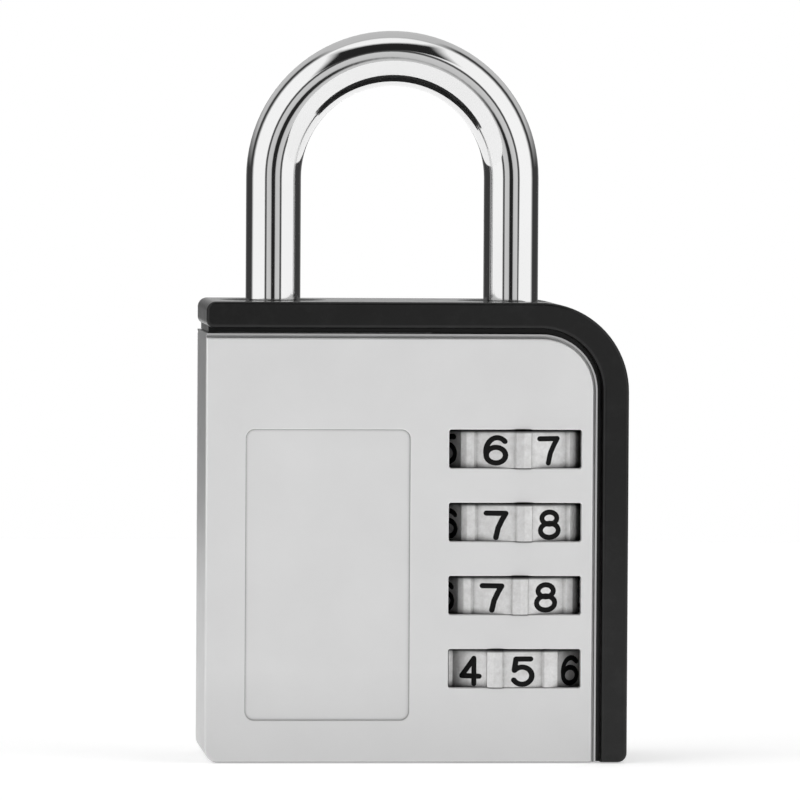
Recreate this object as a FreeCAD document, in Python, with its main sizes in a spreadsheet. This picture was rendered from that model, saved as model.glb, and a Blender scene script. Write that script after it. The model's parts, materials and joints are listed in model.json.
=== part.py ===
"""Four-dial combination padlock, modelled as the pieces it is assembled from.

Millimetres. +X is to the right of the dials, -Y is the front, +Z is up along the shackle legs.
The origin is the middle of the lock's base.
"""
import FreeCAD, Part
import math
import os

import Sketcher

Vector = FreeCAD.Vector

DIMENSIONS = {
    # lock case
    "case_width": 46.0,
    "case_height": 50.0,
    "case_depth": 19.2,
    "foot_corner": 1.35,
    # black bumper along the top and the right side
    "bumper_face": 2.88,
    "bumper_corner": 9.7,
    "bumper_end": 1.0,
    "bumper_end_inner": 0.8,
    "bumper_edge": 0.4,
    "shadow_gap": 0.57,
    "shadow_depth": 2.0,
    "bumper_fit": 0.08,
    "ledge_overlap": 0.4,
    "ledge_start": 0.3,
    "tongue_out": 1.6,
    "tongue_depth": 13.2,
    "tongue_inset": 1.4,
    "tongue_end_fit": 0.1,
    "groove_depth": 13.4,
    "groove_fit": 0.05,
    "groove_over": 1.5,
    # cover plates
    "plate_thick": 1.2,
    "plate_edge": 0.2,
    "rim_width": 0.2,
    "rim_drop": 0.2,
    "rim_corner": 6.15,
    "seam_width": 0.26,
    "label_left": -18.7,
    "label_width": 17.9,
    "label_foot": 4.6,
    "label_tall": 31.6,
    "label_corner": 1.0,
    "label_sink": 0.25,
    "label_edge": 0.1,
    "window_x": 10.63,
    "window_width": 14.45,
    "window_tall": 4.2,
    "window_rise": 0.06,
    "window_corner": 0.25,
    "window_edge": 0.12,
    # shackle
    "bar_radius": 3.0,
    "heel_x": 10.83,
    "toe_x": -15.25,
    "arch_lift": 13.4,
    "toe_foot": 42.8,
    "toe_nose": 0.8,
    "toe_room": 0.5,
    "heel_foot": 38.5,
    "heel_nose": 0.4,
    "bar_fit": 0.1,
    "dish_radius": 5.85,
    "dish_sink": 1.0,
    "hole_fit": 0.25,
    "hole_depth": 6.0,
    # dials
    "dial_count": 4,
    "dial_first": 10.19,
    "dial_pitch": 7.95,
    "dial_tall": 4.0,
    "dial_slot": 4.3,
    "slot_radius": 10.5,
    "mouth_margin": 0.35,
    "rib_radius": 10.2,
    "rib_shoulder": 10.07,
    "rib_foot": 9.6,
    "rib_top_half": 0.8,
    "rib_foot_half": 0.95,
    "half_step": 18.0,
    "crown_over": 0.01,
    "digit_count": 10,
    # cam rings inside the dials
    "ring_radius": 4.6,
    "ring_play": 0.05,
    "web_bore": 4.75,
    "chamber_radius": 3.6,
    "ring_bore": 2.0,
    "gate_width": 1.7,
    "lug_radius": 0.42,
    "lug_notch": 0.5,
    "lug_out": 0.15,
    "lug_short": 0.3,
    # locking spindle
    "spindle_radius": 1.8,
    "spindle_foot": 2.6,
    "spindle_top": 44.0,
    "fin_reach": 3.4,
    "fin_width": 1.4,
    "fin_tall": 3.3,
    "fin_root": 1.0,
    "fin_corner": 0.3,
    "lift_play": 0.05,
    "lift_room": 0.3,
    "end_room": 0.05,
    "press_gap": 0.01,
    "spring_bore": 1.25,
    "spring_seat": 15.0,
    "pin_radius": 0.6,
    "pin_half": 2.7,
    "pin_level": 41.5,
    # springs, washer and bottom plug
    "wire_radius": 0.17,
    "coil_radius": 0.85,
    "coil_turns": 11,
    "reset_wire": 0.25,
    "reset_radius": 3.3,
    "reset_turns": 2,
    "turns_per_face": 1,
    "plug_radius": 5.3,
    "plug_thick": 1.4,
    "plug_inset": 0.3,
    "plug_spike": 0.5,
    "plug_fit": 0.02,
    "spike_tall": 0.7,
    "dimple_radius": 1.2,
    "dimple_depth": 0.35,
    "washer_thick": 0.5,
    "washer_bore": 2.2,
    # detent leaf
    "leaf_thick": 0.35,
    "leaf_back": -0.95,
    "leaf_front": -8.3,
    "leaf_rear": 3.0,
    "leaf_foot": 5.0,
    "leaf_top": 39.0,
    "leaf_room": 0.15,
    "leaf_fit": 0.03,
    "leaf_bead_fit": 0.05,
    "leaf_end_fit": 0.15,
    "bead_radius": 1.3,
    "bead_tall": 3.0,
    # dowels that hold the plates
    "dowel_radius": 1.0,
    "dowel_bite": 0.6,
    "dowel_fit": 0.02,
    "dowel_play": 0.02,
    "dowel_left": 3.5,
    "dowel_foot": 4.0,
    "dowel_left_top": 38.0,
    "dowel_middle_x": -4.0,
    "dowel_middle_z": 43.0,
    "dowel_corner_x": 16.2,
    "dowel_corner_z": 42.3,
    "dowel_right_x": 17.8,
    # how far a cutter runs past what it cuts
    "cut_over": 1.0,
}

# How far a picked edge may lie outside the outline it belongs to.
PICK_SLACK = 0.01

# Rest turn of each dial: degrees from "a digit faces the front" towards the right.
DIAL_TURNS = (4.3, -15.9, -13.5, -14.2)

# Dowel places on the face, as expressions of the driving sizes.
DOWEL_PLACES = (
    ("-dims.case_width / 2 + dims.dowel_left", "dims.dowel_foot"),
    ("-dims.case_width / 2 + dims.dowel_left", "dims.dowel_left_top"),
    ("dims.dowel_middle_x", "dims.dowel_middle_z"),
    ("dims.dowel_corner_x", "dims.dowel_corner_z"),
    ("dims.dowel_right_x", "dims.dowel_foot"),
)

doc = FreeCAD.newDocument("padlock")
sheet = doc.addObject("Spreadsheet::Sheet", "dims")
for row, (alias, value) in enumerate(DIMENSIONS.items(), start=1):
    sheet.set(f"A{row}", alias.replace("_", " "))
    sheet.set(f"B{row}", str(value))
    sheet.setAlias(f"B{row}", alias)
doc.recompute()

sub_parts = []


# ---------------------------------------------------------------- helpers

def number(expression):
    """The value of an expression of the driving sizes, as a plain number."""
    value = sheet.evalExpression(str(expression))
    return float(getattr(value, "Value", value))


def publish(item, label):
    """Name a finished sub-part and list it for export."""
    item.Label = label
    sub_parts.append(item)


def bind(item, **expressions):
    """Bind properties to expressions; a double underscore in a name stands for a dot."""
    for name, expression in expressions.items():
        item.setExpression(name.replace("__", "."), str(expression))


def place(item, x="0", y="0", z="0"):
    """Bind an item's position."""
    bind(item, Placement__Base__x=x, Placement__Base__y=y, Placement__Base__z=z)


def new_body(name):
    return doc.addObject("PartDesign::Body", name)


def origin_plane(body, role):
    return next(item for item in body.Origin.OriginFeatures if item.Role == role)


def new_sketch(body, name, role, offset="0"):
    """A sketch on one of the body's origin planes, moved along the plane's normal."""
    sketch = body.newObject("Sketcher::SketchObject", name)
    sketch.AttachmentSupport = [(origin_plane(body, role), "")]
    sketch.MapMode = "FlatFace"
    sketch.setExpression("AttachmentOffset.Base.z", str(offset))
    doc.recompute()
    return sketch


def constrain(sketch, expression, *constraint):
    """Add a dimension and bind it to an expression."""
    index = sketch.addConstraint(Sketcher.Constraint(*constraint, number(expression)))
    sketch.setExpression(f"Constraints[{index}]", str(expression))


def pin_point(sketch, item, point, x, y):
    constrain(sketch, x, "DistanceX", -1, 1, item, point)
    constrain(sketch, y, "DistanceY", -1, 1, item, point)


def draw_circle(sketch, x, y, radius):
    centre = Vector(number(x), number(y), 0)
    circle = sketch.addGeometry(Part.Circle(centre, Vector(0, 0, 1), number(radius)), False)
    pin_point(sketch, circle, 3, x, y)
    constrain(sketch, radius, "Radius", circle)


def draw_polygon(sketch, points):
    """A closed polygon through points given as pairs of expressions."""
    corners = [Vector(number(x), number(y), 0) for x, y in points]
    count = len(corners)
    edges = [
        sketch.addGeometry(Part.LineSegment(corners[i], corners[(i + 1) % count]), False)
        for i in range(count)
    ]
    for i, edge in enumerate(edges):
        sketch.addConstraint(Sketcher.Constraint("Coincident", edge, 2, edges[(i + 1) % count], 1))
        pin_point(sketch, edge, 1, *points[i])


def draw_outline(sketch, corners):
    """A closed outline of level and upright lines, as (x, y, radius or None) corners in order."""
    count = len(corners)
    spots = [Vector(number(x), number(y), 0) for x, y, _ in corners]
    radii = [number(radius) if radius else 0.0 for _, _, radius in corners]
    ahead = [(spots[(i + 1) % count] - spots[i]).normalize() for i in range(count)]
    lines = []
    for i in range(count):
        after = (i + 1) % count
        start = spots[i] + ahead[i] * radii[i]
        end = spots[after] - ahead[i] * radii[after]
        line = sketch.addGeometry(Part.LineSegment(start, end), False)
        lines.append(line)
        if abs(ahead[i].x) > abs(ahead[i].y):
            sketch.addConstraint(Sketcher.Constraint("Horizontal", line))
            constrain(sketch, corners[i][1], "DistanceY", -1, 1, line, 1)
        else:
            sketch.addConstraint(Sketcher.Constraint("Vertical", line))
            constrain(sketch, corners[i][0], "DistanceX", -1, 1, line, 1)
    for i in range(count):
        before = lines[i - 1]
        after = lines[i]
        if not radii[i]:
            sketch.addConstraint(Sketcher.Constraint("Coincident", before, 2, after, 1))
            continue
        inward = ahead[i] - ahead[i - 1]
        centre = spots[i] + inward * radii[i]
        middle = centre - inward.normalize() * radii[i]
        arc = Part.Arc(spots[i] - ahead[i - 1] * radii[i], middle, spots[i] + ahead[i] * radii[i])
        turn_left = ahead[i - 1].cross(ahead[i]).z > 0
        bend = sketch.addGeometry(arc, False)
        first, last = (1, 2) if turn_left else (2, 1)
        sketch.addConstraint(Sketcher.Constraint("Tangent", before, 2, bend, first))
        sketch.addConstraint(Sketcher.Constraint("Tangent", bend, last, after, 1))
        constrain(sketch, corners[i][2], "Radius", bend)


def pad(body, name, sketch, length, middle=False, reverse=False):
    feature = body.newObject("PartDesign::Pad", name)
    feature.Profile = sketch
    feature.Midplane = middle
    feature.Reversed = reverse
    bind(feature, Length=length)
    doc.recompute()


def pocket(body, name, sketch, length, middle=False, reverse=False):
    """Cut a sketch out of the body, and stop if nothing was cut."""
    before = body.Shape.Volume
    feature = body.newObject("PartDesign::Pocket", name)
    feature.Profile = sketch
    feature.Midplane = middle
    feature.Reversed = reverse
    bind(feature, Length=length)
    doc.recompute()
    check_smaller(body, name, before)
    return feature


def check_smaller(body, name, before):
    if body.Shape.Volume >= before:
        raise RuntimeError(f"{name} removed nothing")


def bore(body, name, x, z, radius, height, y="0"):
    """Cut an upright cylinder that starts at level z."""
    before = body.Shape.Volume
    cutter = body.newObject("PartDesign::SubtractiveCylinder", name)
    bind(cutter, Radius=radius, Height=height)
    place(cutter, x, y, z)
    doc.recompute()
    check_smaller(body, name, before)
    return cutter


def stud(body, name, x, z, radius, height, y="0"):
    """Add an upright cylinder that starts at level z."""
    post = body.newObject("PartDesign::AdditiveCylinder", name)
    bind(post, Radius=radius, Height=height)
    place(post, x, y, z)
    doc.recompute()


def pattern_round(body, name, feature, count):
    """Repeat a feature evenly around the body's own Z axis."""
    pattern = body.newObject("PartDesign::PolarPattern", name)
    pattern.Originals = [feature]
    pattern.Axis = (origin_plane(body, "Z_Axis"), [""])
    pattern.Angle = 360
    bind(pattern, Occurrences=count)
    body.Tip = pattern
    doc.recompute()


def soften(body, name, kind, radius, wanted):
    """Round or bevel the edges for which wanted(edge) holds."""
    base = body.Tip
    names = [f"Edge{i}" for i, edge in enumerate(base.Shape.Edges, start=1) if wanted(edge)]
    if not names:
        raise RuntimeError(f"{name} found no edges")
    feature = body.newObject(kind, name)
    feature.Base = (base, names)
    bind(feature, **{"Radius" if kind.endswith("Fillet") else "Size": radius})
    doc.recompute()


def lies_at(edge, axis, level, slack=1e-4):
    """Whether an edge lies in the plane where one coordinate has a given value."""
    box = edge.BoundBox
    low = getattr(box, axis + "Min")
    high = getattr(box, axis + "Max")
    return abs(low - level) < slack and abs(high - level) < slack


# ---------------------------------------------------------------- shared outlines

FACE_Y = "dims.case_depth / 2"
LEFT = "-dims.case_width / 2"
RIGHT = "dims.case_width / 2"
# Where the big round corner shared by the bumper, the rim and the plates starts.
CORNER_X = f"({RIGHT} - dims.bumper_corner)"
INNER_X = f"({RIGHT} - dims.bumper_face)"
INNER_Z = "(dims.case_height - dims.bumper_face)"
RIM_X = f"({INNER_X} - dims.shadow_gap)"
RIM_Z = f"({INNER_Z} - dims.shadow_gap)"
PLATE_SEAT = "(dims.case_depth / 2 - dims.plate_thick)"
THROUGH_CASE = "dims.case_depth + 2 * dims.cut_over"
TOP_DIAL = DIMENSIONS["dial_count"] - 1


def draw_case(sketch, inset):
    """The case outline inside the bumper, brought in from the rim by inset."""
    right = f"{RIM_X} - {inset}"
    top = f"{RIM_Z} - {inset}"
    radius = f"dims.rim_corner - {inset}"
    draw_outline(sketch, [
        (LEFT, "0", "dims.foot_corner"),
        (right, "0", None),
        (right, top, radius),
        (LEFT, top, None),
    ])


def draw_corner_band(sketch, left, foot, inner, outer):
    """A band along the top and the right side; inner and outer are offsets in from the outside."""
    inner_right = f"{RIGHT} - {inner}"
    inner_top = f"dims.case_height - {inner}"
    outer_right = f"{RIGHT} - {outer}"
    outer_top = f"dims.case_height - {outer}"
    draw_outline(sketch, [
        (left, outer_top, None),
        (left, inner_top, None),
        (inner_right, inner_top, f"dims.bumper_corner - {inner}"),
        (inner_right, foot, None),
        (outer_right, foot, None),
        (outer_right, outer_top, f"dims.bumper_corner - {outer}"),
    ])


def dial_level(index):
    return f"(dims.dial_first + {index} * dims.dial_pitch)"


# ---------------------------------------------------------------- case pieces

def make_body_casting():
    """Die-cast chassis: seats for both plates, dial slots, bores and the tongue for the bumper."""
    body = new_body("body_casting")
    block = new_sketch(body, "block_outline", "XZ_Plane")
    draw_case(block, "0")
    pad(body, "block", block, "dims.case_depth - 2 * dims.rim_drop", middle=True)

    tongue = new_sketch(body, "tongue_outline", "XZ_Plane")
    tongue_left = f"{LEFT} + dims.tongue_inset"
    tongue_right = f"{RIGHT} - dims.tongue_out"
    tongue_top = "dims.case_height - dims.tongue_out"
    draw_outline(tongue, [
        (tongue_left, "dims.tongue_inset", None),
        (tongue_right, "dims.tongue_inset", None),
        (tongue_right, tongue_top, "dims.bumper_corner - dims.tongue_out"),
        (tongue_left, tongue_top, None),
    ])
    pad(body, "tongue", tongue, "dims.tongue_depth", middle=True)

    for side, sign in (("front", 1), ("rear", -1)):
        seat = new_sketch(body, f"{side}_seat_outline", "XZ_Plane", f"{sign} * {FACE_Y}")
        right = f"{RIM_X} - dims.rim_width"
        top = f"{RIM_Z} - dims.rim_width"
        draw_outline(seat, [
            (f"{LEFT} - dims.cut_over", "-dims.cut_over", None),
            (right, "-dims.cut_over", None),
            (right, top, "dims.rim_corner - dims.rim_width"),
            (f"{LEFT} - dims.cut_over", top, None),
        ])
        pocket(body, f"{side}_seat", seat, "dims.plate_thick", reverse=(sign < 0))

    for index in range(DIMENSIONS["dial_count"]):
        foot = f"{dial_level(index)} - dims.dial_slot / 2"
        bore(body, f"dial_slot_{index + 1}", "dims.heel_x", foot, "dims.slot_radius", "dims.dial_slot")

    mouths = new_sketch(body, "dial_mouths_outline", "XZ_Plane")
    half_mouth = "(dims.window_width / 2 + dims.mouth_margin)"
    for index in range(DIMENSIONS["dial_count"]):
        foot = f"{dial_level(index)} - dims.dial_slot / 2"
        top = f"{dial_level(index)} + dims.dial_slot / 2"
        draw_outline(mouths, [
            (f"dims.window_x - {half_mouth}", foot, None),
            (f"dims.window_x + {half_mouth}", foot, None),
            (f"dims.window_x + {half_mouth}", top, None),
            (f"dims.window_x - {half_mouth}", top, None),
        ])
    pocket(body, "dial_mouths", mouths, "dims.case_depth", middle=True)

    slot_top = f"{dial_level(TOP_DIAL)} + dims.dial_slot / 2"
    ring_bay_top = f"{slot_top} - dims.dial_slot"
    bore(body, "ring_bay", "dims.heel_x", "0", "dims.web_bore", ring_bay_top)
    bore(body, "plug_seat", "dims.heel_x", "0", "dims.plug_radius", "dims.plug_inset + dims.plug_thick")
    for turn, sign in (("left", -1), ("right", 1)):
        bore(body, f"{turn}_keyway", f"dims.heel_x + {sign} * dims.web_bore", "0",
             "dims.lug_notch + dims.ring_play", ring_bay_top)
    chamber_top = f"{dial_level(TOP_DIAL)} + dims.dial_pitch / 2 + dims.fin_tall / 2 + dims.lift_play"
    bore(body, "lift_chamber", "dims.heel_x", slot_top, "dims.chamber_radius + dims.lift_room",
         f"{chamber_top} - ({slot_top})")
    bore(body, "heel_guide", "dims.heel_x", slot_top, "dims.bar_radius + dims.bar_fit",
         "dims.case_height")
    bore(body, "toe_socket", "dims.toe_x", "dims.toe_foot - dims.toe_room", "dims.bar_radius + dims.bar_fit",
         "dims.case_height")

    leaf = new_sketch(body, "leaf_slot_outline", "XY_Plane", "dims.leaf_foot - dims.leaf_end_fit")
    draw_outline(leaf, [
        ("dims.leaf_back - dims.leaf_fit", f"-{FACE_Y}", None),
        (f"{LEAF_TIP} + dims.leaf_bead_fit", f"-{FACE_Y}", None),
        (f"{LEAF_TIP} + dims.leaf_bead_fit", "dims.leaf_rear + dims.leaf_end_fit", None),
        ("dims.leaf_back - dims.leaf_fit", "dims.leaf_rear + dims.leaf_end_fit", None),
    ])
    pocket(body, "leaf_slot", leaf, "dims.leaf_top - dims.leaf_foot + 2 * dims.leaf_end_fit", reverse=True)

    dowels = new_sketch(body, "dowel_holes_outline", "XZ_Plane")
    for x, z in DOWEL_PLACES:
        draw_circle(dowels, x, z, "dims.dowel_radius + dims.dowel_fit")
    pocket(body, "dowel_holes", dowels, THROUGH_CASE, middle=True)
    publish(body, "body_casting")


def make_plate(side, sign):
    """Pressed cover with four dial windows; the front one also has a sunk label panel."""
    label = f"{side}_plate"
    body = new_body(label)
    outline = new_sketch(body, f"{label}_outline", "XZ_Plane", f"{sign} * {PLATE_SEAT}")
    draw_case(outline, "(dims.rim_width + dims.seam_width)")
    pad(body, f"{label}_sheet", outline, "dims.plate_thick", reverse=(sign < 0))
    face = -sign * number(FACE_Y)
    soften(body, f"{label}_edge", "PartDesign::Fillet", "dims.plate_edge",
           lambda edge: lies_at(edge, "Y", face))

    windows = new_sketch(body, f"{label}_windows_outline", "XZ_Plane")
    for index in range(DIMENSIONS["dial_count"]):
        left = "dims.window_x - dims.window_width / 2"
        right = "dims.window_x + dims.window_width / 2"
        foot = f"{dial_level(index)} + dims.window_rise - dims.window_tall / 2"
        top = f"{dial_level(index)} + dims.window_rise + dims.window_tall / 2"
        draw_outline(windows, [(x, z, "dims.window_corner")
                               for x, z in ((left, foot), (right, foot), (right, top), (left, top))])
    pocket(body, f"{label}_windows", windows, THROUGH_CASE, middle=True)
    window_left = number("dims.window_x - dims.window_width / 2") - PICK_SLACK
    window_right = number("dims.window_x + dims.window_width / 2") + PICK_SLACK

    def on_window(edge):
        box = edge.BoundBox
        return lies_at(edge, "Y", face) and box.XMin > window_left and box.XMax < window_right

    soften(body, f"{label}_window_edge", "PartDesign::Fillet", "dims.window_edge", on_window)

    if sign > 0:
        panel = new_sketch(body, "label_outline", "XZ_Plane", FACE_Y)
        right = "dims.label_left + dims.label_width"
        top = "dims.label_foot + dims.label_tall"
        draw_outline(panel, [(x, z, "dims.label_corner")
                             for x, z in (("dims.label_left", "dims.label_foot"), (right, "dims.label_foot"),
                                          (right, top), ("dims.label_left", top))])
        pocket(body, "label_panel", panel, "dims.label_sink")
        label_right = number("dims.label_left + dims.label_width") + PICK_SLACK
        label_left = number("dims.label_left") - PICK_SLACK

        def on_label(edge):
            box = edge.BoundBox
            return lies_at(edge, "Y", face) and box.XMin > label_left and box.XMax < label_right

        soften(body, "label_lip", "PartDesign::Fillet", "dims.label_edge", on_label)

    sockets = new_sketch(body, f"{label}_sockets_outline", "XZ_Plane", f"{sign} * {PLATE_SEAT}")
    for x, z in DOWEL_PLACES:
        draw_circle(sockets, x, z, "dims.dowel_radius + dims.dowel_fit")
    pocket(body, f"{label}_sockets", sockets, "dims.dowel_bite", reverse=(sign > 0))
    publish(body, label)


def make_bumper():
    """Black plastic guard round the top and the right side, with a dished hole for each shackle leg."""
    body = new_body("bumper")
    outline = new_sketch(body, "bumper_outline", "XZ_Plane")
    draw_outline(outline, [
        (LEFT, "dims.case_height", "dims.bumper_end"),
        (LEFT, INNER_Z, "dims.bumper_end_inner"),
        (INNER_X, INNER_Z, "dims.bumper_corner - dims.bumper_face"),
        (INNER_X, "0", None),
        (RIGHT, "0", "dims.bumper_end"),
        (RIGHT, "dims.case_height", "dims.bumper_corner"),
    ])
    pad(body, "guard", outline, "dims.case_depth", middle=True)
    face = number(FACE_Y)

    def on_rim(edge):
        return lies_at(edge, "Y", face) or lies_at(edge, "Y", -face)

    soften(body, "guard_edge", "PartDesign::Fillet", "dims.bumper_edge", on_rim)

    ledge = new_sketch(body, "ledge_outline", "XZ_Plane")
    inner_x = f"{RIM_X} + dims.bumper_fit"
    inner_z = f"{RIM_Z} + dims.bumper_fit"
    outer_x = f"{INNER_X} + dims.ledge_overlap"
    outer_z = f"{INNER_Z} + dims.ledge_overlap"
    draw_outline(ledge, [
        (f"{LEFT} + dims.ledge_start", outer_z, None),
        (f"{LEFT} + dims.ledge_start", inner_z, None),
        (inner_x, inner_z, f"{inner_x} - {CORNER_X}"),
        (inner_x, "0", None),
        (outer_x, "0", None),
        (outer_x, outer_z, f"{outer_x} - {CORNER_X}"),
    ])
    pad(body, "ledge", ledge, "dims.case_depth - 2 * dims.shadow_depth", middle=True)

    groove = new_sketch(body, "groove_outline", "XZ_Plane")
    groove_end = "dims.tongue_inset - dims.tongue_end_fit"
    draw_corner_band(groove, f"{LEFT} + {groove_end}", groove_end,
                     "(dims.bumper_face + dims.groove_over)", "(dims.tongue_out - dims.groove_fit)")
    pocket(body, "groove", groove, "dims.groove_depth", middle=True)

    for name, x in (("toe", "dims.toe_x"), ("heel", "dims.heel_x")):
        bore(body, f"{name}_hole", x, "dims.case_height - dims.hole_depth",
             "dims.bar_radius + dims.hole_fit", "dims.hole_depth + dims.cut_over")
        before = body.Shape.Volume
        dish = body.newObject("PartDesign::SubtractiveCone", f"{name}_dish")
        bind(dish, Radius1="dims.bar_radius + dims.hole_fit", Radius2="dims.dish_radius",
             Height="dims.dish_sink")
        place(dish, x, "0", "dims.case_height - dims.dish_sink")
        doc.recompute()
        check_smaller(body, f"{name}_dish", before)
    publish(body, "bumper")


def make_plate_dowels():
    """Five steel dowels pressed through the casting into blind sockets in both plates."""
    dowels = []
    half = f"({PLATE_SEAT} + dims.dowel_bite)"
    for index, (x, z) in enumerate(DOWEL_PLACES, start=1):
        dowel = doc.addObject("Part::Cylinder", f"dowel_{index}")
        bind(dowel, Radius="dims.dowel_radius", Height=f"2 * ({half} - dims.dowel_play)")
        dowel.Placement = FreeCAD.Placement(Vector(0, 0, 0), FreeCAD.Rotation(Vector(1, 0, 0), 90))
        place(dowel, x, f"{half} - dims.dowel_play", z)
        dowels.append(dowel)
    group = doc.addObject("Part::Compound", "plate_dowels")
    group.Links = dowels
    publish(group, "plate_dowels")


# ---------------------------------------------------------------- shackle and spindle

def make_shackle():
    """Round bar bent into a U: a long heel leg and a short toe leg."""
    body = new_body("shackle")
    section = new_sketch(body, "bar_section", "XY_Plane", "dims.toe_foot")
    draw_circle(section, "dims.toe_x", "0", "dims.bar_radius")

    path = new_sketch(body, "bar_path", "XZ_Plane")
    toe = number("dims.toe_x")
    heel = number("dims.heel_x")
    spring_line = number("dims.case_height + dims.arch_lift")
    middle = (toe + heel) / 2
    reach = (heel - toe) / 2
    toe_line = path.addGeometry(Part.LineSegment(
        Vector(toe, number("dims.toe_foot"), 0), Vector(toe, spring_line, 0)), False)
    arch = path.addGeometry(Part.Arc(
        Vector(toe, spring_line, 0), Vector(middle, spring_line + reach, 0),
        Vector(heel, spring_line, 0)), False)
    heel_line = path.addGeometry(Part.LineSegment(
        Vector(heel, spring_line, 0), Vector(heel, number("dims.heel_foot"), 0)), False)
    pin_point(path, toe_line, 1, "dims.toe_x", "dims.toe_foot")
    path.addConstraint(Sketcher.Constraint("Vertical", toe_line))
    path.addConstraint(Sketcher.Constraint("Vertical", heel_line))
    path.addConstraint(Sketcher.Constraint("Tangent", toe_line, 2, arch, 2))
    path.addConstraint(Sketcher.Constraint("Tangent", arch, 1, heel_line, 1))
    constrain(path, "dims.case_height + dims.arch_lift", "DistanceY", -1, 1, arch, 3)
    pin_point(path, heel_line, 2, "dims.heel_x", "dims.heel_foot")

    bar = body.newObject("PartDesign::AdditivePipe", "bar")
    bar.Profile = section
    bar.Spine = path
    doc.recompute()

    toe_end = number("dims.toe_foot")
    heel_end = number("dims.heel_foot")
    soften(body, "toe_nose", "PartDesign::Chamfer", "dims.toe_nose", lambda e: lies_at(e, "Z", toe_end))
    soften(body, "heel_nose", "PartDesign::Chamfer", "dims.heel_nose", lambda e: lies_at(e, "Z", heel_end))
    bore(body, "spindle_socket", "dims.heel_x", "dims.heel_foot - dims.cut_over",
         "dims.spindle_radius + dims.press_gap",
         "dims.spindle_top + dims.end_room - dims.heel_foot + dims.cut_over")
    cross = new_sketch(body, "cross_hole_outline", "XZ_Plane")
    draw_circle(cross, "dims.heel_x", "dims.pin_level", "dims.pin_radius + dims.press_gap")
    pocket(body, "cross_hole", cross, "4 * dims.bar_radius", middle=True)
    publish(body, "shackle")


def make_locking_spindle():
    """Rod under the heel leg with one fin below each cam ring's gate, bored for the return spring."""
    body = new_body("locking_spindle")
    stud(body, "rod", "0", "dims.spindle_foot", "dims.spindle_radius", "dims.spindle_top - dims.spindle_foot")
    for index in range(DIMENSIONS["dial_count"]):
        level = f"{dial_level(index)} - dims.dial_pitch / 2 - dims.fin_tall / 2"
        outline = new_sketch(body, f"fin_{index + 1}_outline", "XY_Plane", level)
        draw_outline(outline, [
            ("-dims.fin_reach", "-dims.fin_width / 2", "dims.fin_corner"),
            ("-dims.fin_root", "-dims.fin_width / 2", None),
            ("-dims.fin_root", "dims.fin_width / 2", None),
            ("-dims.fin_reach", "dims.fin_width / 2", "dims.fin_corner"),
        ])
        pad(body, f"fin_{index + 1}", outline, "dims.fin_tall")
    bore(body, "spring_well", "0", "dims.spindle_foot - dims.cut_over", "dims.spring_bore",
         "dims.spring_seat + dims.end_room - dims.spindle_foot + dims.cut_over")
    cross = new_sketch(body, "spindle_cross_outline", "XZ_Plane")
    draw_circle(cross, "0", "dims.pin_level", "dims.pin_radius + dims.press_gap")
    pocket(body, "spindle_cross_hole", cross, "4 * dims.spindle_radius", middle=True)
    place(body, "dims.heel_x")
    publish(body, "locking_spindle")


def make_spindle_pin():
    """Cross pin that ties the spindle to the heel leg."""
    pin = doc.addObject("Part::Cylinder", "spindle_pin")
    bind(pin, Radius="dims.pin_radius", Height="2 * dims.pin_half")
    pin.Placement = FreeCAD.Placement(Vector(0, 0, 0), FreeCAD.Rotation(Vector(1, 0, 0), 90))
    place(pin, "dims.heel_x", "dims.pin_half", "dims.pin_level")
    publish(pin, "spindle_pin")


def make_coil(label, wire, radius, turns, foot, top):
    """Helical spring between two levels on the heel axis, its surface split once a turn."""
    rise = f"({top} - {foot} - 2 * {wire})"
    coil = doc.addObject("Part::Helix", f"{label}_line")
    bind(coil, Pitch=f"{rise} / {turns}", Height=rise, Radius=radius, SegmentLength="dims.turns_per_face")
    section = doc.addObject("Part::Circle", f"{label}_wire")
    bind(section, Radius=wire)
    section.Placement = FreeCAD.Placement(Vector(number(radius), 0, 0), FreeCAD.Rotation(Vector(1, 0, 0), 90))
    bind(section, Placement__Base__x=radius)
    doc.recompute()
    spring = doc.addObject("Part::Sweep", label)
    spring.Sections = [section]
    spring.Spine = (coil, [f"Edge{i}" for i in range(1, len(coil.Shape.Edges) + 1)])
    spring.Solid = True
    spring.Frenet = True
    place(spring, "dims.heel_x", "0", f"{foot} + {wire}")
    publish(spring, label)


def make_bottom_plug():
    """Pressed plug that closes the bottom of the dial stack and seats the return spring."""
    body = new_body("bottom_plug")
    stud(body, "plug_disc", "0", "dims.plug_inset", "dims.plug_radius - dims.plug_fit", "dims.plug_thick")
    stud(body, "plug_spike", "0", "dims.plug_inset", "dims.plug_spike", "dims.plug_thick + dims.spike_tall")
    bore(body, "plug_dimple", "0", "0", "dims.dimple_radius", "dims.plug_inset + dims.dimple_depth")
    place(body, "dims.heel_x")
    publish(body, "bottom_plug")


def make_thrust_washer():
    """Washer between the reset spring and the lowest cam ring."""
    body = new_body("thrust_washer")
    top = f"({dial_level(0)} + dims.dial_tall / 2 - dims.dial_pitch)"
    stud(body, "washer_disc", "0", f"{top} - dims.washer_thick", "dims.ring_radius",
         "dims.washer_thick - dims.ring_play")
    bore(body, "washer_hole", "0", "0", "dims.washer_bore", f"{top} + dims.cut_over")
    place(body, "dims.heel_x")
    publish(body, "thrust_washer")


# ---------------------------------------------------------------- dials

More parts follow.
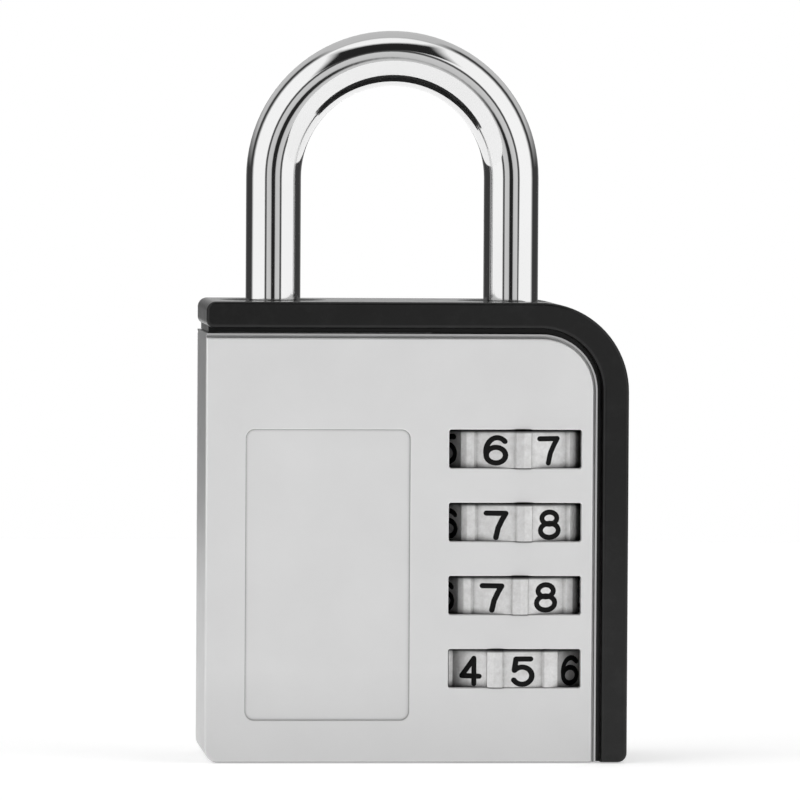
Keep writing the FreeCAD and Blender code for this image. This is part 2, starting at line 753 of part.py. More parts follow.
def make_number_wheel(index, turn):
    """Ten-sided dial with a crowned rib between each two digits, and notches for the ring's lugs."""
    name = f"number_wheel_{index + 1}"
    body = new_body(name)
    disc = new_sketch(body, f"{name}_disc_outline", "XY_Plane", "-dims.dial_tall / 2")
    draw_circle(disc, "0", "0", "dims.rib_radius")
    pad(body, f"{name}_disc", disc, "dims.dial_tall")

    def rib_point(radius, half_width, side):
        """A point beside the middle line of the rib on one side of the facet that faces -Y."""
        x = f"{side} * ({radius} * sin(dims.half_step * 1 deg) - {half_width} * cos(dims.half_step * 1 deg))"
        y = f"-({radius} * cos(dims.half_step * 1 deg) + {half_width} * sin(dims.half_step * 1 deg))"
        return x, y

    facet = new_sketch(body, f"{name}_facet_outline", "XY_Plane", "-dims.dial_tall / 2 - dims.cut_over")
    draw_polygon(facet, [
        rib_point("(dims.rib_radius + dims.cut_over)", "0", -1),
        rib_point("(dims.rib_radius + dims.crown_over)", "0", -1),
        rib_point("dims.rib_shoulder", "dims.rib_top_half", -1),
        rib_point("dims.rib_foot", "dims.rib_foot_half", -1),
        rib_point("dims.rib_foot", "dims.rib_foot_half", 1),
        rib_point("dims.rib_shoulder", "dims.rib_top_half", 1),
        rib_point("(dims.rib_radius + dims.crown_over)", "0", 1),
        rib_point("(dims.rib_radius + dims.cut_over)", "0", 1),
    ])
    cut = pocket(body, f"{name}_facet", facet, "dims.dial_tall + 2 * dims.cut_over", reverse=True)
    pattern_round(body, f"{name}_facets", cut, "dims.digit_count")
    bore(body, f"{name}_bore", "0", "-dims.dial_tall", "dims.ring_radius + dims.ring_play",
         "2 * dims.dial_tall")
    notch = bore(body, f"{name}_notch", "0", "-dims.dial_tall", "dims.lug_notch", "2 * dims.dial_tall",
                 y="-(dims.ring_radius + dims.lug_out)")
    pattern_round(body, f"{name}_notches", notch, "dims.digit_count")
    body.Placement.Rotation = FreeCAD.Rotation(Vector(0, 0, 1), turn)
    place(body, "dims.heel_x", "0", dial_level(index))
    publish(body, name)


def make_cam_ring(index, turn):
    """Sleeve keyed into a dial; its inner flange has the gate that a spindle fin passes through."""
    name = f"cam_ring_{index + 1}"
    body = new_body(name)
    stud(body, f"{name}_sleeve", "0", "dims.dial_tall / 2 - dims.dial_pitch + dims.ring_play",
         "dims.ring_radius", "dims.dial_pitch - dims.ring_play")
    for side, angle in (("front", turn - 90), ("rear", turn + 90)):
        stud(body, f"{name}_{side}_lug", f"(dims.ring_radius + dims.lug_out) * cos({angle} * 1 deg)",
             "-dims.dial_tall / 2 + dims.lug_short", "dims.lug_radius",
             "dims.dial_tall - 2 * dims.lug_short",
             y=f"(dims.ring_radius + dims.lug_out) * sin({angle} * 1 deg)")
    bore(body, f"{name}_flange_bore", "0", "-dims.dial_pitch", "dims.ring_bore", "2 * dims.dial_pitch")
    bore(body, f"{name}_chamber", "0", "-dims.dial_pitch", "dims.chamber_radius",
         "dims.dial_pitch - dims.dial_tall / 2")
    gate = new_sketch(body, f"{name}_gate_outline", "XY_Plane", "-dims.dial_tall")
    draw_outline(gate, [
        ("-dims.chamber_radius", "-dims.gate_width / 2", None),
        ("0", "-dims.gate_width / 2", None),
        ("0", "dims.gate_width / 2", None),
        ("-dims.chamber_radius", "dims.gate_width / 2", None),
    ])
    pocket(body, f"{name}_gate", gate, "2 * dims.dial_tall", reverse=True)
    place(body, "dims.heel_x", "0", dial_level(index))
    publish(body, name)


# Where the tips of the detent beads stop, just clear of the dial ribs.
LEAF_TIP = "(dims.heel_x - dims.rib_radius - dims.leaf_room)"


def make_detent_leaf():
    """Spring strip with one bowed bead beside each dial."""
    body = new_body("detent_leaf")
    strip = new_sketch(body, "strip_outline", "XY_Plane", "dims.leaf_foot")
    draw_outline(strip, [
        ("dims.leaf_back", "dims.leaf_front", None),
        ("dims.leaf_back + dims.leaf_thick", "dims.leaf_front", None),
        ("dims.leaf_back + dims.leaf_thick", "dims.leaf_rear", None),
        ("dims.leaf_back", "dims.leaf_rear", None),
    ])
    pad(body, "strip", strip, "dims.leaf_top - dims.leaf_foot")
    for index in range(DIMENSIONS["dial_count"]):
        foot = f"{dial_level(index)} - dims.bead_tall / 2"
        stud(body, f"bead_{index + 1}", f"{LEAF_TIP} - dims.bead_radius", foot, "dims.bead_radius",
             "dims.bead_tall")
    trim = new_sketch(body, "bead_back_outline", "XY_Plane", "dims.leaf_foot")
    draw_outline(trim, [
        ("dims.leaf_back - 2 * dims.bead_radius", "dims.leaf_front", None),
        ("dims.leaf_back", "dims.leaf_front", None),
        ("dims.leaf_back", "dims.leaf_rear", None),
        ("dims.leaf_back - 2 * dims.bead_radius", "dims.leaf_rear", None),
    ])
    pocket(body, "bead_back", trim, "dims.leaf_top - dims.leaf_foot", reverse=True)
    publish(body, "detent_leaf")


# ---------------------------------------------------------------- build and export

def main():
    make_body_casting()
    make_plate("front", 1)
    make_plate("rear", -1)
    make_bumper()
    make_plate_dowels()
    make_shackle()
    make_locking_spindle()
    make_spindle_pin()
    plug_top = "(dims.plug_inset + dims.plug_thick)"
    make_coil("return_spring", "dims.wire_radius", "dims.coil_radius", "dims.coil_turns",
              plug_top, "dims.spring_seat")
    washer_foot = f"({dial_level(0)} + dims.dial_tall / 2 - dims.dial_pitch - dims.washer_thick)"
    make_coil("reset_spring", "dims.reset_wire", "dims.reset_radius", "dims.reset_turns",
              plug_top, washer_foot)
    make_bottom_plug()
    make_thrust_washer()
    for index, turn in enumerate(DIAL_TURNS):
        make_number_wheel(index, turn)
        make_cam_ring(index, turn)
    make_detent_leaf()
    doc.recompute()

    for item in doc.Objects:
        if "Invalid" in item.State or "Error" in item.State:
            raise RuntimeError(f"{item.Label} failed: {item.State}")
    for item in sub_parts:
        shape = item.Shape
        if shape.isNull() or not shape.isValid() or not shape.Solids:
            raise RuntimeError(f"{item.Label} has no valid solid")
    os.makedirs("parts", exist_ok=True)
    for item in sub_parts:
        item.Shape.exportStep(f"parts/{item.Label}.step")
        box = item.Shape.BoundBox
        print(f"{item.Label}: {len(item.Shape.Solids)} solid, {item.Shape.Volume:.1f} mm3, "
              f"X {box.XMin:.2f}..{box.XMax:.2f} Y {box.YMin:.2f}..{box.YMax:.2f} "
              f"Z {box.ZMin:.2f}..{box.ZMax:.2f}")


main()
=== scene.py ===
"""Looks of a four-dial combination padlock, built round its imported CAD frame."""
import json
import math

import bmesh
import bpy
from mathutils import Matrix, Vector


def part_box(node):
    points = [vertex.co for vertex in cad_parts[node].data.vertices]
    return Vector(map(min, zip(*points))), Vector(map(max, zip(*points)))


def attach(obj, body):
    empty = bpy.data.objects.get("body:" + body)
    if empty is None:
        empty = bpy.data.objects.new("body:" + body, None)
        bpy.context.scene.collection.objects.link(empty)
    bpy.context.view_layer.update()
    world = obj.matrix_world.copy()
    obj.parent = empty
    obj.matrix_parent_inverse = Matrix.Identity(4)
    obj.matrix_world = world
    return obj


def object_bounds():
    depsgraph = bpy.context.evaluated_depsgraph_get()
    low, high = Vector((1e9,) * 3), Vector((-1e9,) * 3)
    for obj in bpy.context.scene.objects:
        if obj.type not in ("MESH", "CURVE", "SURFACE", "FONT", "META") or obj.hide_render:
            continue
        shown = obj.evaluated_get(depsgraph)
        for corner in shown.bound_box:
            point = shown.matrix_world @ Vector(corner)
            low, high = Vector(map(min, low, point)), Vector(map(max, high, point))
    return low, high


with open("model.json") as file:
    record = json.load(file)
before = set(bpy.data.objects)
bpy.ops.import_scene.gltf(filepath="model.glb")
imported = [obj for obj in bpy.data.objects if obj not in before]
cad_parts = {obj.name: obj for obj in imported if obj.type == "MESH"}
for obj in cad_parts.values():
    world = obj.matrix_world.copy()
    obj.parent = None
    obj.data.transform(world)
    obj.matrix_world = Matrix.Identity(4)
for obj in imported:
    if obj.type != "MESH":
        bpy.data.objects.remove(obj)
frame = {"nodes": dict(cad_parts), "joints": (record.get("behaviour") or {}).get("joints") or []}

MM = 0.001
CAD_LOW, CAD_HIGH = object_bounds()
DIGITS = 10
DIAL_STEP = 360 / DIGITS
HALF_TURN = 180

# Rest turn of each dial (degrees from the front towards the right), the digit on that facet,
# and how far its numerals sit below the middle of the dial.
DIALS = {
    "number_wheel_1": (4.3, 5, 0.3 * MM),
    "number_wheel_2": (-15.9, 7, 0.2 * MM),
    "number_wheel_3": (-13.5, 7, 0.25 * MM),
    "number_wheel_4": (-14.2, 6, 0.1 * MM),
}
DIAL_PITCH = 7.95 * MM
FACET_DISTANCE = 9.424 * MM
DIGIT_HEIGHT = 2.75 * MM
STROKE_HALF = 0.285 * MM
INK_HALF = 0.03 * MM
NUMERAL_SPREAD = 1.08
# Degrees at which the round end of a stroke narrows, and how close the ends of a closed one lie.
CAP_ANGLES = (28, 55, 80)
CLOSED_WITHIN = 1e-6

# The middle of the range that noise takes, which is spread over the whole of a variation.
NOISE_BAND = (0.3, 0.7)
CLOUD_TONES = (0.975, 1.015)
ROUGHNESS_SPREAD = 0.035
# Ambient occlusion between deep shelter and open surface.
SHELTER_BAND = (0.45, 0.92)
# Tone of the painted shade laid into corners.
CORNER_SHADE_TONE = 0.03
# Fading edges of the painted shade zone in the dial slots: radius from the dials' axis, and depth from
# the lock's middle plane.
SLOT_RADIUS = (11.2 * MM, 11.4 * MM)
SLOT_DEPTH = (8.3 * MM, 8.38 * MM)
# Tone of that painted shade in the slots.
SLOT_SHADE_TONE = 0.01
# Each painted shade over the plate: the heights it fades between, and its strength at the lower one.
FOOT_SHADES = ((8 * MM, 40 * MM, 0.18), (1 * MM, 10 * MM, 0.28))
# Tone of that painted shade over the plate.
FOOT_SHADE_TONE = 0.45
# Heights on a dial over which the painted shade along its upper rim sets in.
RIM_SHADE_HEIGHTS = (3.74 * MM, 3.92 * MM)
RIM_SHADE_STRENGTH = 0.9
RIM_SHADE_TONE = 0.02

FLOOR_RADIUS = 0.45
FLOOR_SIDES = 96
FLOOR_DROP = 0.0001
FLOOR_GLOW = 0.46

# Brightness of the surround against degrees from the camera's bearing.
STRIPS = (
    (0, 0.02), (7, 0.02), (10, 0.64), (26, 0.70), (28.5, 0.08), (34, 0.08), (37, 1.10), (91, 1.10),
    (98, 0.45), (103, 0.05), (142, 0.05), (152, 0.14), (172, 0.14), (175.5, 1.0), (180, 1.0),
)
# Fading edges of the patches laid over the strips, as parts of a unit direction or of a half turn.
FLAG_LIGHT = 0.02
FLAG_LOWER_EDGE = (0.54, 0.58)
FLAG_UPPER_EDGE = (0.90, 0.95)
FLAG_SIDE_EDGE = (0.32, 0.44)
FLAG_REAR_EDGE = (-0.06, 0.0)
REAR_ROOF_LIGHT = 0.6
ROOF_FRONT_EDGE = (112 / HALF_TURN, 120 / HALF_TURN)
ROOF_LOWER_EDGE = (0.05, 0.30)
ZENITH_FRONT_EDGE = (96 / HALF_TURN, 101 / HALF_TURN)
ZENITH_LOWER_EDGE = (0.1, 0.3)
ZENITH_SIDE_EDGE = (0.35, 0.5)

CAMERA_AZIMUTH = math.radians(-4.40)
CAMERA_ELEVATION = math.radians(2.05)
CAMERA_ROLL = math.radians(0.325)
CAMERA_DISTANCE = 0.9
CAMERA_LENS = 369.7
CAMERA_SENSOR = 36
CAMERA_CLIP = (0.05, 20)
CAMERA_TARGET = Vector((-1.25 * MM, 0, 39.05 * MM))


# ---------------------------------------------------------------- material helpers

def math_node(tree, operation, first, second=None):
    """A maths node over sockets or plain numbers."""
    item = tree.nodes.new("ShaderNodeMath")
    item.operation = operation
    for slot, value in enumerate((first, second)):
        if value is None:
            continue
        if isinstance(value, (int, float)):
            item.inputs[slot].default_value = value
        else:
            tree.links.new(value, item.inputs[slot])
    return item.outputs["Value"]


class Material:
    """A principled material with small helpers for procedural detail."""

    def __init__(self, name, colour, metallic, roughness):
        self.material = bpy.data.materials.new(name)
        self.material.use_nodes = True
        self.tree = self.material.node_tree
        self.shader = self.tree.nodes["Principled BSDF"]
        self.shader.inputs["Base Color"].default_value = (*colour, 1)
        self.shader.inputs["Metallic"].default_value = metallic
        self.shader.inputs["Roughness"].default_value = roughness
        self.place = self.node("ShaderNodeTexCoord").outputs["Object"]
        self.last_bump = None

    def node(self, kind, **settings):
        item = self.tree.nodes.new(kind)
        for name, value in settings.items():
            setattr(item, name, value)
        return item

    def link(self, source, target):
        self.tree.links.new(source, target)

    def set(self, **values):
        for name, value in values.items():
            self.shader.inputs[name.replace("_", " ")].default_value = value

    def stretched(self, scale):
        mapping = self.node("ShaderNodeMapping")
        mapping.inputs["Scale"].default_value = scale
        self.link(self.place, mapping.inputs["Vector"])
        return mapping.outputs["Vector"]

    def noise(self, size, detail=3.0, stretch=(1, 1, 1), roughness=0.5):
        """Noise whose features are about size metres across."""
        item = self.node("ShaderNodeTexNoise")
        item.inputs["Scale"].default_value = 1 / size
        item.inputs["Detail"].default_value = detail
        item.inputs["Roughness"].default_value = roughness
        self.link(self.stretched(stretch), item.inputs["Vector"])
        return item.outputs["Fac"]

    def ramp(self, source, low, high, start, end):
        """Map source from low..high onto start..end."""
        item = self.node("ShaderNodeMapRange")
        item.inputs["From Min"].default_value = low
        item.inputs["From Max"].default_value = high
        item.inputs["To Min"].default_value = start
        item.inputs["To Max"].default_value = end
        self.link(source, item.inputs["Value"])
        return item.outputs["Result"]

    def colour_between(self, factor, first, second):
        item = self.node("ShaderNodeMix", data_type="RGBA")
        item.inputs["A"].default_value = (*first, 1)
        item.inputs["B"].default_value = (*second, 1)
        self.link(factor, item.inputs["Factor"])
        self.link(item.outputs["Result"], self.shader.inputs["Base Color"])

    def vary_roughness(self, factor, low, high):
        self.link(self.ramp(factor, *NOISE_BAND, low, high), self.shader.inputs["Roughness"])

    def bump(self, height, distance, strength=1.0):
        item = self.node("ShaderNodeBump")
        item.inputs["Distance"].default_value = distance
        item.inputs["Strength"].default_value = strength
        self.link(height, item.inputs["Height"])
        if self.last_bump:
            self.link(self.last_bump, item.inputs["Normal"])
        self.last_bump = item.outputs["Normal"]
        self.link(self.last_bump, self.shader.inputs["Normal"])

    def shade_in_corners(self, reach, darkest):
        """Painted shade: darken the colour in corners narrower than reach, as ambient occlusion finds
        them.
        """
        shelter = self.node("ShaderNodeAmbientOcclusion", samples=8)
        shelter.inputs["Distance"].default_value = reach
        self.mix_over(self.ramp(shelter.outputs["AO"], *SHELTER_BAND, darkest, 0), grey(CORNER_SHADE_TONE))

    def mix_over(self, factor, tone):
        """Lay a tone over the colour by a factor."""
        colour = self.shader.inputs["Base Color"].links[0].from_socket
        mix = self.node("ShaderNodeMix", data_type="RGBA")
        self.link(colour, mix.inputs["A"])
        mix.inputs["B"].default_value = (*tone, 1)
        self.link(factor, mix.inputs["Factor"])
        self.link(mix.outputs["Result"], self.shader.inputs["Base Color"])

    def coordinates(self):
        split = self.node("ShaderNodeSeparateXYZ")
        self.link(self.place, split.inputs["Vector"])
        return split.outputs["X"], split.outputs["Y"], split.outputs["Z"]

    def shade_inside_slots(self):
        """Painted shade: blacken the surfaces inside the dial slots, where little light reaches."""
        hub = frame["joints"][-1]["pos_m"]
        x, y, _ = self.coordinates()
        flat = self.node("ShaderNodeCombineXYZ")
        self.link(math_node(self.tree, "SUBTRACT", x, hub[0]), flat.inputs["X"])
        self.link(y, flat.inputs["Y"])
        reach = self.node("ShaderNodeVectorMath", operation="LENGTH")
        self.link(flat.outputs["Vector"], reach.inputs[0])
        inside = self.ramp(reach.outputs["Value"], *SLOT_RADIUS, 1, 0)
        buried = self.ramp(math_node(self.tree, "ABSOLUTE", y), *SLOT_DEPTH, 1, 0)
        self.mix_over(math_node(self.tree, "MULTIPLY", inside, buried), grey(SLOT_SHADE_TONE))

    def shade_towards_foot(self):
        """Painted shade that deepens towards the base, making the plate darker towards the bottom."""
        _, _, z = self.coordinates()
        for low, high, strength in FOOT_SHADES:
            self.mix_over(self.ramp(z, low, high, strength, 0), grey(FOOT_SHADE_TONE))

    def shade_upper_rims(self):
        """Painted shade along the upper rim of every dial."""
        _, _, z = self.coordinates()
        above = math_node(self.tree, "SUBTRACT", z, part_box("number_wheel_1")[0][2])
        level = math_node(self.tree, "FLOORED_MODULO", above, DIAL_PITCH)
        self.mix_over(self.ramp(level, *RIM_SHADE_HEIGHTS, 0, RIM_SHADE_STRENGTH), grey(RIM_SHADE_TONE))


def grey(value, warm=0.0):
    return (value * (1 + warm), value, value * (1 - warm))


def satin_silver(name, tone, roughness):
    """Satin silver: fine grain, faint cloudiness, rubbed patches."""
    metal = Material(name, grey(tone), 1.0, roughness)
    cloud = metal.noise(9 * MM, 4)
    metal.colour_between(metal.ramp(cloud, *NOISE_BAND, 0, 1),
                         grey(tone * CLOUD_TONES[0]), grey(tone * CLOUD_TONES[1]))
    metal.vary_roughness(metal.noise(4 * MM, 5, roughness=0.6),
                         roughness - ROUGHNESS_SPREAD, roughness + ROUGHNESS_SPREAD)
    metal.bump(metal.noise(0.16 * MM, 3), 0.004 * MM, 0.6)
    return metal


def plate_metal():
    metal = satin_silver("plate_satin", 0.86, 0.45)
    metal.set(Metallic=0.7)
    # Painted shade in the plate's corners, seams and label outline.
    metal.shade_in_corners(0.35 * MM, 0.75)
    # Painted shade, darker towards the foot of the plate.
    metal.shade_towards_foot()
    return metal.material


def casting_metal():
    metal = satin_silver("casting_satin", 0.56, 0.36)
    metal.bump(metal.noise(1.2 * MM, 4), 0.01 * MM, 0.4)
    # Painted shade inside the dial slots.
    metal.shade_inside_slots()
    return metal.material


def dial_metal():
    """Cast and lightly polished dial metal, with the pitting left by casting."""
    metal = Material("dial_cast", grey(0.74), 0.6, 0.4)
    metal.colour_between(metal.ramp(metal.noise(0.7 * MM, 5, roughness=0.7), *NOISE_BAND, 0, 1),
                         grey(0.64, 0.01), grey(0.82))
    # Painted shade in the dials' corners and narrow gaps.
    metal.shade_in_corners(0.9 * MM, 0.92)
    # Painted shade along each dial's upper rim.
    metal.shade_upper_rims()
    metal.vary_roughness(metal.noise(0.5 * MM, 4), 0.3, 0.48)
    metal.bump(metal.noise(0.45 * MM, 4, roughness=0.65), 0.02 * MM, 0.7)
    return metal.material


def shackle_chrome():
    """Polished chrome with faint drawing lines along the bar and patches of uneven polish."""
    metal = Material("shackle_chrome", grey(0.80), 1.0, 0.05)
    metal.vary_roughness(metal.noise(5 * MM, 4), 0.035, 0.07)
    metal.bump(metal.noise(1.5 * MM, 2, (1, 1, 0.15)), 0.004 * MM, 0.5)
    metal.colour_between(metal.ramp(metal.noise(12 * MM, 3), *NOISE_BAND, 0, 1), grey(0.78), grey(0.82))
    return metal.material


def bumper_plastic():
    """Black moulded plastic with fine spark-eroded texture and faint rub marks."""
    plastic = Material("bumper_plastic", grey(0.007), 0.0, 0.36)
    plastic.set(Specular_IOR_Level=0.15, Coat_Weight=0.35, Coat_Roughness=0.1)
    scuff = plastic.noise(3 * MM, 6, roughness=0.7)
    plastic.colour_between(plastic.ramp(scuff, 0.5, 0.8, 0, 1), grey(0.006), grey(0.013))
    plastic.vary_roughness(plastic.noise(2 * MM, 5, roughness=0.65), 0.28, 0.44)
    plastic.bump(plastic.noise(0.25 * MM, 3), 0.008 * MM, 0.6)
    return plastic.material


def inner_steel():
    metal = Material("inner_steel", grey(0.5), 1.0, 0.35)
    metal.colour_between(metal.noise(1 * MM, 4), grey(0.42), grey(0.56))
    metal.vary_roughness(metal.noise(0.6 * MM, 4, (1, 1, 6)), 0.28, 0.45)
    metal.bump(metal.noise(0.2 * MM, 3, (0.3, 0.3, 3)), 0.01 * MM, 0.5)
    return metal.material


def turned_brass():
    metal = Material("turned_brass", (0.66, 0.47, 0.20), 1.0, 0.3)
    metal.colour_between(metal.noise(2 * MM, 5), (0.58, 0.40, 0.17), (0.72, 0.53, 0.25))
    metal.vary_roughness(metal.noise(0.8 * MM, 4), 0.24, 0.42)
    metal.bump(metal.noise(0.25 * MM, 3, (0.4, 0.4, 3)), 0.01 * MM, 0.5)
    return metal.material


def numeral_paint():
    """Black enamel of the numerals."""
    paint = Material("numeral_paint", grey(0.004), 0.0, 0.5)
    paint.set(Specular_IOR_Level=0.12)
    paint.colour_between(paint.noise(0.4 * MM, 4), grey(0.003), grey(0.007))
    paint.vary_roughness(paint.noise(0.3 * MM, 3), 0.38, 0.55)
    paint.bump(paint.noise(0.2 * MM, 3), 0.006 * MM, 0.5)
    return paint.material


def paint_nodes():
    """Give every carried-over CAD node its material."""
    plate = plate_metal()
    casting = casting_metal()
    dial = dial_metal()
    steel = inner_steel()
    brass = turned_brass()
    materials = {
        "body_casting": casting,
        "front_plate": plate,
        "rear_plate": plate,
        "bumper": bumper_plastic(),
        "shackle": shackle_chrome(),
        "bottom_plug": brass,
    }
    for name, node in frame["nodes"].items():
        material = materials.get(name, steel)
        if name.startswith("number_wheel"):
            material = dial
        if name.startswith("cam_ring"):
            material = brass
        node.data.materials.clear()
        node.data.materials.append(material)


# ---------------------------------------------------------------- numerals

def arc(centre_x, centre_y, radius_x, radius_y, start, end, steps=20):
    """Points along an elliptical arc, angles in degrees."""
    points = []
    for step in range(steps + 1):
        angle = math.radians(start + (end - start) * step / steps)
        points.append((centre_x + radius_x * math.cos(angle), centre_y + radius_y * math.sin(angle)))
    return points


def turned_over(strokes):
    return [[(-x, -y) for x, y in stroke] for stroke in strokes]


SIX = [
    arc(0.05, -0.06, 0.42, 0.56, 48, 186),
    arc(0.0, -0.19, 0.36, 0.31, 0, 360),
]

# Each numeral is a list of smooth strokes in a box about one unit high, centred on nought.
NUMERALS = {
    0: [arc(0, 0, 0.36, 0.5, 0, 360, 32)],
    1: [[(-0.14, 0.3), (0.06, 0.5)], [(0.06, 0.5), (0.06, -0.5)]],
    2: [arc(0, 0.19, 0.33, 0.31, 165, -20) + [(0.1, -0.14), (-0.35, -0.5)],
        [(-0.35, -0.5), (0.36, -0.5)]],
    3: [arc(0, 0.25, 0.3, 0.25, 150, -90), arc(0, -0.24, 0.36, 0.26, 90, -150)],
    4: [[(0.18, 0.5), (0.18, -0.5)], [(0.18, 0.5), (-0.32, -0.2)], [(-0.32, -0.2), (0.4, -0.2)]],
    5: [[(-0.24, 0.5), (0.3, 0.5)], [(-0.24, 0.5), (-0.3, 0.06)],
        arc(-0.01, -0.16, 0.36, 0.34, 142, -150)],
    6: SIX,
    7: [[(-0.38, 0.46), (0.34, 0.46)], [(0.34, 0.46), (0.2, 0.2), (0.06, -0.12), (-0.02, -0.5)]],
    8: [arc(0, 0.26, 0.31, 0.24, 0, 360), arc(0, -0.22, 0.37, 0.28, 0, 360)],
    9: turned_over(SIX),
}


def smooth_line(points, spacing=0.04):
    """Points spread evenly along a polyline."""
    dense = [Vector(points[0])]
    for first, second in zip(points, points[1:]):
        first, second = Vector(first), Vector(second)
        count = max(1, round((second - first).length / spacing))
        dense += [first.lerp(second, step / count) for step in range(1, count + 1)]
    return dense


def add_stroke(mesh, points, to_space, half_width, half_depth, sides=10):
    """Add one round-ended stroke as a closed, flattened tube; to_space puts (x, y, out) in place."""
    line = smooth_line(points)
    closed = (line[0] - line[-1]).length < CLOSED_WITHIN
    if closed:
        line = line[:-1]
    count = len(line)
    stations = []
    for index, point in enumerate(line):
        before = line[index - 1] if closed or index else point
        after = line[(index + 1) % count] if closed or index < count - 1 else point
        along = (after - before).normalized()
        stations.append((point * DIGIT_HEIGHT, along, 1.0))
    if not closed:
        start, start_along, _ = stations[0]
        end, end_along, _ = stations[-1]
        head = [(start - start_along * half_width * math.sin(math.radians(a)), start_along,
                 math.cos(math.radians(a))) for a in reversed(CAP_ANGLES)]
        tail = [(end + end_along * half_width * math.sin(math.radians(a)), end_along,
                 math.cos(math.radians(a))) for a in CAP_ANGLES]
        stations = head + stations + tail
    rings = []
    for point, along, width in stations:
        across = Vector((-along.y, along.x))
        ring = []
        for side in range(sides):
            angle = 2 * math.pi * side / sides
            flat = point + across * (half_width * width * math.cos(angle))
            ring.append(mesh.verts.new(to_space(flat.x, flat.y, half_depth * width * math.sin(angle))))
        rings.append(ring)
    total = len(rings)
    for index in range(total if closed else total - 1):
        first = rings[index]
        second = rings[(index + 1) % total]
        for side in range(sides):
            other = (side + 1) % sides
            mesh.faces.new((first[side], first[other], second[other], second[side]))
    if not closed:
        mesh.faces.new(list(reversed(rings[0])))
        mesh.faces.new(rings[-1])


def make_numerals(node, paint):
    """All ten numerals of one dial, as painted strokes on its facets."""
    turn, first_digit, drop = DIALS[node]
    low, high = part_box(node)
    hub = next(j for j in frame["joints"] if j["child"] == f"dial_{node[-1]}")
    axis = Vector((hub["pos_m"][0], hub["pos_m"][1], (low[2] + high[2]) / 2))
    mesh = bmesh.new()
    for facet in range(DIGITS):
        angle = math.radians(turn + DIAL_STEP * facet)
        outward = Vector((math.sin(angle), -math.cos(angle), 0))
        across = Vector((math.cos(angle), math.sin(angle), 0))

        def to_space(x, y, out):
            return (axis + outward * (FACET_DISTANCE + out) + across * x * NUMERAL_SPREAD
                    + Vector((0, 0, y - drop)))

        for stroke in NUMERALS[(first_digit + facet) % DIGITS]:
            add_stroke(mesh, stroke, to_space, STROKE_HALF, INK_HALF)
    bmesh.ops.recalc_face_normals(mesh, faces=mesh.faces)
    data = bpy.data.meshes.new(f"{node}_numerals")
    mesh.to_mesh(data)
    mesh.free()
    for face in data.polygons:
        face.use_smooth = True
    piece = bpy.data.objects.new(f"{node}_numerals", data)
    bpy.context.scene.collection.objects.link(piece)
    data.materials.append(paint)
    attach(piece, f"dial_{node[-1]}")


# ---------------------------------------------------------------- studio

def make_floor():
    """Plain pale floor."""
    bpy.ops.mesh.primitive_circle_add(vertices=FLOOR_SIDES, radius=FLOOR_RADIUS, fill_type="NGON",
                                      location=(0, 0, CAD_LOW[2] - FLOOR_DROP))
    floor = bpy.context.object
    floor.name = "floor"
    pale = Material("floor_white", grey(0.9), 0.0, 0.9)
    pale.shader.inputs["Emission Color"].default_value = (1, 1, 1, 1)
    pale.shader.inputs["Emission Strength"].default_value = FLOOR_GLOW
    floor.data.materials.append(pale.material)


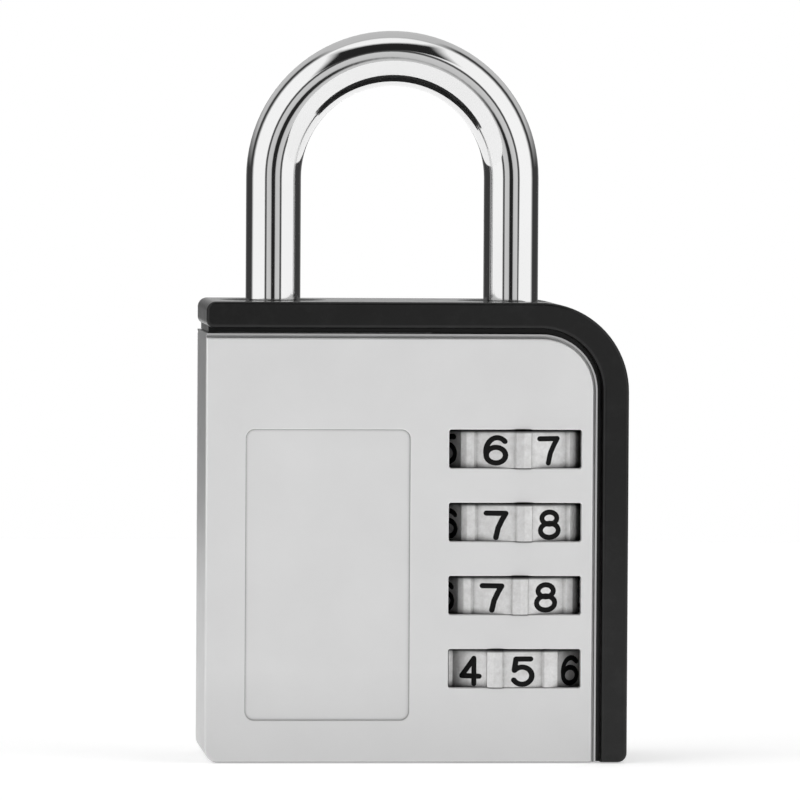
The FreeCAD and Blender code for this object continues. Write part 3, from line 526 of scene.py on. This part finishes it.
def make_studio_light():
    """Surround of bright, grey and dark strips that the metal reflects; the camera itself sees white."""
    world = bpy.data.worlds.new("studio")
    bpy.context.scene.world = world
    world.use_nodes = True
    tree = world.node_tree
    tree.nodes.clear()
    output = tree.nodes.new("ShaderNodeOutputWorld")
    surround = tree.nodes.new("ShaderNodeBackground")
    backdrop = tree.nodes.new("ShaderNodeBackground")
    backdrop.inputs["Color"].default_value = (1, 1, 1, 1)
    backdrop.inputs["Strength"].default_value = 1.0
    direction = tree.nodes.new("ShaderNodeTexCoord").outputs["Generated"]
    split = tree.nodes.new("ShaderNodeSeparateXYZ")
    tree.links.new(direction, split.inputs["Vector"])

    # Angle from the camera's side: 0 towards the camera, 1 straight behind the lock.
    toward = tree.nodes.new("ShaderNodeVectorMath")
    toward.operation = "DOT_PRODUCT"
    tree.links.new(direction, toward.inputs[0])
    toward.inputs[1].default_value = camera_side()
    bearing = math_node(tree, "DIVIDE", math_node(tree, "ARCCOSINE", toward.outputs["Value"]), math.pi)
    strips = tree.nodes.new("ShaderNodeValToRGB")
    strips.color_ramp.interpolation = "LINEAR"
    elements = strips.color_ramp.elements
    for element, (degrees, value) in zip(elements, (STRIPS[0], STRIPS[-1])):
        element.position, element.color = degrees / HALF_TURN, (*grey(value), 1)
    for degrees, value in STRIPS[1:-1]:
        element = elements.new(degrees / HALF_TURN)
        element.color = (*grey(value), 1)
    tree.links.new(bearing, strips.inputs["Fac"])

    def rise(source, low, high):
        item = tree.nodes.new("ShaderNodeMapRange")
        item.inputs["From Min"].default_value = low
        item.inputs["From Max"].default_value = high
        tree.links.new(source, item.inputs["Value"])
        return item.outputs["Result"]

    def fall(source, low, high):
        return math_node(tree, "SUBTRACT", 1.0, rise(source, low, high))

    def patch(colour, masks, brightness):
        """Lay a patch of one brightness over colour where all the masks are 1."""
        factor = masks[0]
        for mask in masks[1:]:
            factor = math_node(tree, "MULTIPLY", factor, mask)
        item = tree.nodes.new("ShaderNodeMix")
        item.data_type = "RGBA"
        tree.links.new(factor, item.inputs["Factor"])
        tree.links.new(colour, item.inputs["A"])
        item.inputs["B"].default_value = (*grey(brightness), 1)
        return item.outputs["Result"]

    up = split.outputs["Z"]
    sideways = math_node(tree, "ABSOLUTE", split.outputs["X"])
    # A black flag hangs forward of the lock, overhead; the tent's rear roof is grey.
    flag = [rise(up, *FLAG_LOWER_EDGE), fall(up, *FLAG_UPPER_EDGE), fall(sideways, *FLAG_SIDE_EDGE),
            fall(split.outputs["Y"], *FLAG_REAR_EDGE)]
    roof = [rise(bearing, *ROOF_FRONT_EDGE), rise(up, *ROOF_LOWER_EDGE)]
    zenith = [rise(bearing, *ZENITH_FRONT_EDGE), rise(up, *ZENITH_LOWER_EDGE),
              fall(sideways, *ZENITH_SIDE_EDGE)]
    colour = patch(strips.outputs["Color"], flag, FLAG_LIGHT)
    colour = patch(colour, roof, REAR_ROOF_LIGHT)
    colour = patch(colour, zenith, REAR_ROOF_LIGHT)
    tree.links.new(colour, surround.inputs["Color"])
    surround.inputs["Strength"].default_value = 1.0
    choose = tree.nodes.new("ShaderNodeMixShader")
    seen = tree.nodes.new("ShaderNodeLightPath").outputs["Is Camera Ray"]
    tree.links.new(seen, choose.inputs["Fac"])
    tree.links.new(surround.outputs["Background"], choose.inputs[1])
    tree.links.new(backdrop.outputs["Background"], choose.inputs[2])
    tree.links.new(choose.outputs["Shader"], output.inputs["Surface"])
    bpy.context.scene.view_settings.view_transform = "Standard"


def camera_side():
    """Unit vector from the lock towards the camera."""
    return Vector((math.sin(CAMERA_AZIMUTH) * math.cos(CAMERA_ELEVATION),
                   -math.cos(CAMERA_AZIMUTH) * math.cos(CAMERA_ELEVATION),
                   math.sin(CAMERA_ELEVATION)))


def make_camera():
    """Long lens at the lock's mid height, a little to the left and above."""
    data = bpy.data.cameras.new("camera")
    data.lens = CAMERA_LENS
    data.sensor_width = CAMERA_SENSOR
    camera = bpy.data.objects.new("camera", data)
    bpy.context.scene.collection.objects.link(camera)
    back = camera_side()
    camera.location = CAMERA_TARGET + back * CAMERA_DISTANCE
    camera.rotation_mode = "QUATERNION"
    roll = Matrix.Rotation(CAMERA_ROLL, 4, "Z").to_quaternion()
    camera.rotation_quaternion = (-back).to_track_quat("-Z", "Y") @ roll
    data.clip_start, data.clip_end = CAMERA_CLIP
    bpy.context.scene.camera = camera


paint_nodes()
numeral_black = numeral_paint()
for dial in DIALS:
    make_numerals(dial, numeral_black)
make_floor()
make_studio_light()
make_camera()
